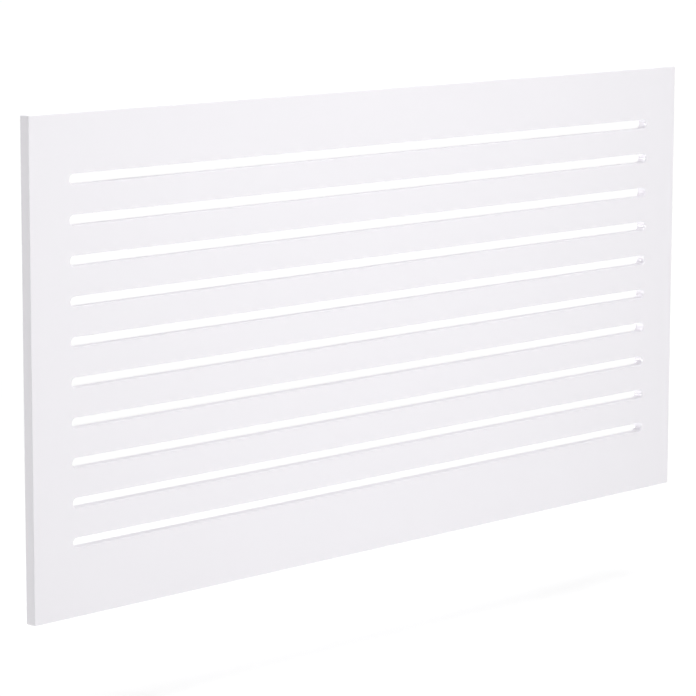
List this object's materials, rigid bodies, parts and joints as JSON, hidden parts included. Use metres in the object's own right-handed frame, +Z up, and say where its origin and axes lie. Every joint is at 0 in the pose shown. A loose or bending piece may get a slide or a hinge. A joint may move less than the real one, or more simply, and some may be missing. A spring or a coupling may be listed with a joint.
{
  "type": "radiator cover panel",
  "caption": "Flat slotted board that hangs in front of a radiator on adjustable hooks, with adjustable rubber stops below and long round-ended air slots.",
  "frame": {"origin": "midway between the two hooks, on the radiator's top edge: under the hooks' sleeves and at the middle of their throats, front to back", "axes": "+X to the right as seen from the front, along the width; +Y back towards the wall; +Z up"},
  "size_m": [1.2, 0.093, 0.6],
  "materials": {
    "lacquered_board": "satin white lacquer on fibreboard",
    "zinc_plated_steel": "bright zinc plating",
    "hook_sleeve": "matt moulded",
    "stop_bumper": "matt"
  },
  "bodies": {
    "cover": {"panel": "lacquered_board", "hanger_bracket_left": "zinc_plated_steel", "hanger_screw_left_lower": "zinc_plated_steel", "hanger_screw_left_upper": "zinc_plated_steel", "stop_bracket_left": "zinc_plated_steel", "stop_screw_left_upper": "zinc_plated_steel", "stop_screw_left_lower": "zinc_plated_steel", "hanger_bracket_right": "zinc_plated_steel", "hanger_screw_right_lower": "zinc_plated_steel", "hanger_screw_right_upper": "zinc_plated_steel", "stop_bracket_right": "zinc_plated_steel", "stop_screw_right_upper": "zinc_plated_steel", "stop_screw_right_lower": "zinc_plated_steel"},
    "hook_left": {"hook_arm_left": "zinc_plated_steel", "hook_sleeve_left": "hook_sleeve", "hanger_bolt_left": "zinc_plated_steel", "hanger_washer_left": "zinc_plated_steel"},
    "stop_left": {"stop_arm_left": "zinc_plated_steel", "stop_bumper_left": "stop_bumper", "stop_bolt_left": "zinc_plated_steel", "stop_washer_left": "zinc_plated_steel"},
    "hanger_nut_left": {"hanger_wing_nut_left": "zinc_plated_steel"},
    "stop_nut_left": {"stop_wing_nut_left": "zinc_plated_steel"},
    "hook_right": {"hook_arm_right": "zinc_plated_steel", "hook_sleeve_right": "hook_sleeve", "hanger_bolt_right": "zinc_plated_steel", "hanger_washer_right": "zinc_plated_steel"},
    "stop_right": {"stop_arm_right": "zinc_plated_steel", "stop_bumper_right": "stop_bumper", "stop_bolt_right": "zinc_plated_steel", "stop_washer_right": "zinc_plated_steel"},
    "hanger_nut_right": {"hanger_wing_nut_right": "zinc_plated_steel"},
    "stop_nut_right": {"stop_wing_nut_right": "zinc_plated_steel"}
  },
  "joints": [
    {"name": "hook_slide_left", "type": "slide", "parent": "cover", "child": "hook_left", "axis": [0, 1, 0], "range_m": [-0.01, 0.01]},
    {"name": "hook_slide_right", "type": "slide", "parent": "cover", "child": "hook_right", "axis": [0, 1, 0], "range_m": [-0.01, 0.01]},
    {"name": "stop_slide_left", "type": "slide", "parent": "cover", "child": "stop_left", "axis": [0, 1, 0], "range_m": [-0.01, 0.01]},
    {"name": "stop_slide_right", "type": "slide", "parent": "cover", "child": "stop_right", "axis": [0, 1, 0], "range_m": [-0.01, 0.01]},
    {"name": "hanger_nut_turn_left", "type": "hinge", "parent": "hook_left", "child": "hanger_nut_left", "pos_m": [-0.4, -0.0374, 0.0098], "axis": [0, 0, 1], "continuous": true},
    {"name": "hanger_nut_turn_right", "type": "hinge", "parent": "hook_right", "child": "hanger_nut_right", "pos_m": [0.4, -0.0374, 0.0098], "axis": [0, 0, 1], "continuous": true},
    {"name": "stop_nut_turn_left", "type": "hinge", "parent": "stop_left", "child": "stop_nut_left", "pos_m": [-0.4, -0.0374, -0.4795], "axis": [0, 0, 1], "continuous": true},
    {"name": "stop_nut_turn_right", "type": "hinge", "parent": "stop_right", "child": "stop_nut_right", "pos_m": [0.4, -0.0374, -0.4795], "axis": [0, 0, 1], "continuous": true}
  ]
}
